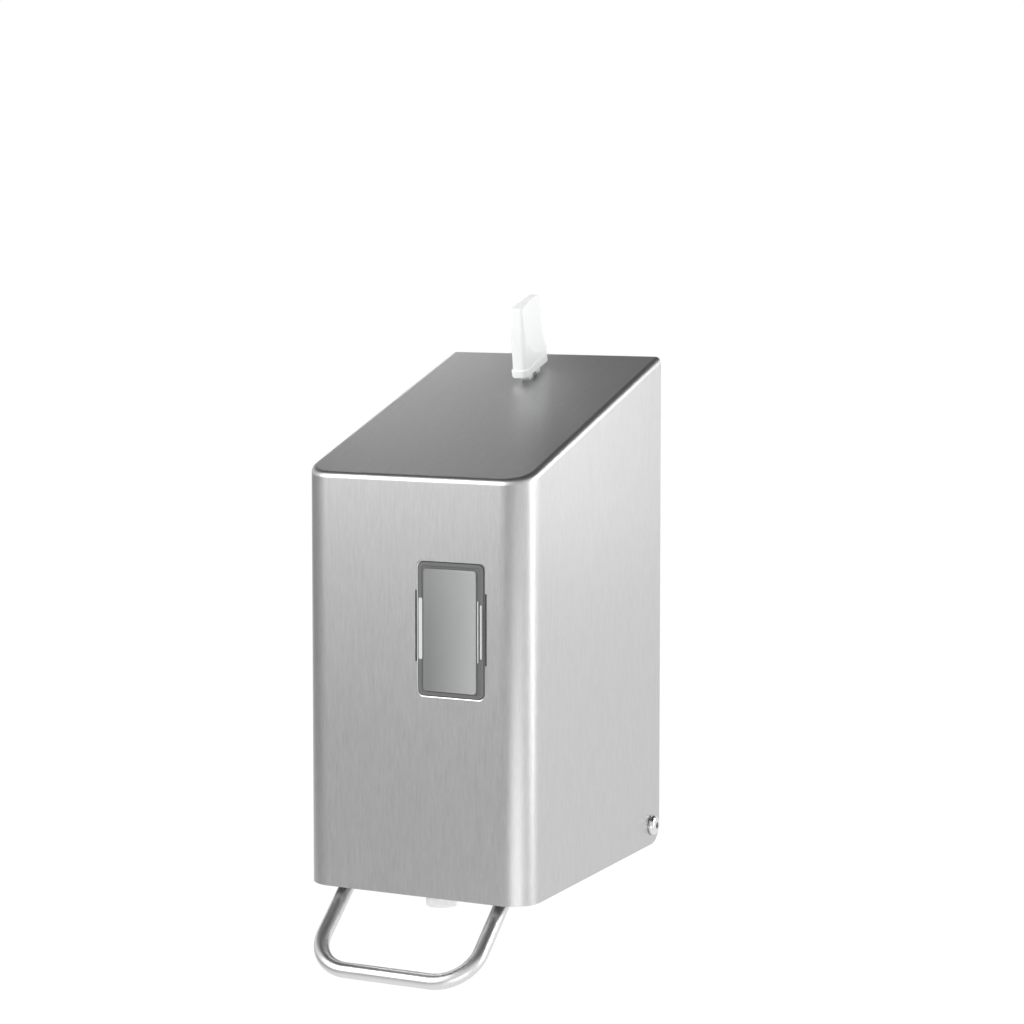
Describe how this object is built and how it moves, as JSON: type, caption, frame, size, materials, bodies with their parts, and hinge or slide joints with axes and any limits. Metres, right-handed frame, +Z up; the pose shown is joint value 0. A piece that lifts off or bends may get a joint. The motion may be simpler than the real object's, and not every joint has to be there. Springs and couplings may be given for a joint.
{
  "type": "wall soap dispenser",
  "caption": "Wall-mounted steel soap dispenser: folded sloping hood on rear hinge screws, level window, bail lever, lift pump with tank and spout, sprung latch and plug-in key.",
  "frame": {"origin": "centre of the wall plate's four-hole bolt pattern, on the wall plane", "axes": "+X to the viewer's right across the hood's width, +Y into the wall, +Z up; the front panel faces -Y"},
  "size_m": [0.104, 0.1569, 0.2622],
  "materials": {
    "hood_steel": "vertical brushed grain",
    "rod_steel": "satin",
    "screw_steel": "polished",
    "plate_steel": "mill finish",
    "spring_steel": "drawn wire",
    "smoked_window": "clear smoked plastic",
    "milky_plastic": "milky, slightly translucent",
    "white_plastic": "semi-gloss moulded",
    "dark_plastic": "matte moulded",
    "seal_rubber": "matte",
    "ball_steel": "polished"
  },
  "bodies": {
    "chassis": {"back_plate": "plate_steel", "hinge_bushes": "dark_plastic", "hinge_screws": "screw_steel", "hinge_nuts": "screw_steel", "latch_striker": "plate_steel", "tank_shelf": "plate_steel", "shelf_screws": "screw_steel", "tank": "milky_plastic", "cap_seal": "seal_rubber", "tank_cap": "white_plastic", "pump_cylinder": "white_plastic", "collar_nut": "white_plastic", "neck_gasket": "seal_rubber", "inlet_ball": "ball_steel", "pump_spring": "spring_steel"},
    "hood": {"hood_shell": "hood_steel", "window_insert": "smoked_window", "window_retainer": "plate_steel", "lever_bracket": "plate_steel", "lever_pins": "screw_steel", "pin_clips": "screw_steel", "lock_housing": "dark_plastic", "lock_studs": "screw_steel", "lock_nuts": "screw_steel", "latch_spring": "spring_steel"},
    "lever": {"lever_bail": "rod_steel", "lever_fork": "plate_steel", "lever_bushes": "dark_plastic"},
    "pump": {"pump_stem": "white_plastic", "piston_ring": "seal_rubber", "spout": "milky_plastic"},
    "latch": {"latch_plunger": "dark_plastic"},
    "key": {"key": "white_plastic"}
  },
  "joints": [
    {"name": "hood_hinge", "type": "hinge", "parent": "chassis", "child": "hood", "pos_m": [0, -0.0087, -0.0968], "axis": [1, 0, 0], "range_deg": [0, 95]},
    {"name": "lever_hinge", "type": "hinge", "parent": "hood", "child": "lever", "pos_m": [0, -0.121, -0.096], "axis": [1, 0, 0], "range_deg": [0, 24], "stiffness_Nm_per_rad": 0.6, "springref_deg": -6.88},
    {"name": "stem_slide", "type": "slide", "parent": "chassis", "child": "pump", "axis": [0, 0, 1], "range_m": [0, 0.0089], "deforming": ["pump_spring"]},
    {"name": "latch_slide", "type": "slide", "parent": "hood", "child": "latch", "axis": [0, -0.301, 0.9536], "range_m": [0, 0.0045], "stiffness_N_per_m": 300, "springref_m": 0.0045, "deforming": ["latch_spring"]},
    {"name": "key_slide", "type": "slide", "parent": "latch", "child": "key", "axis": [0, -0.301, 0.9536], "range_m": [0, 0.035]}
  ],
  "couplings": [
    {"joint": "stem_slide", "follows": "lever_hinge", "m_per_rad": 0.0209}
  ]
}
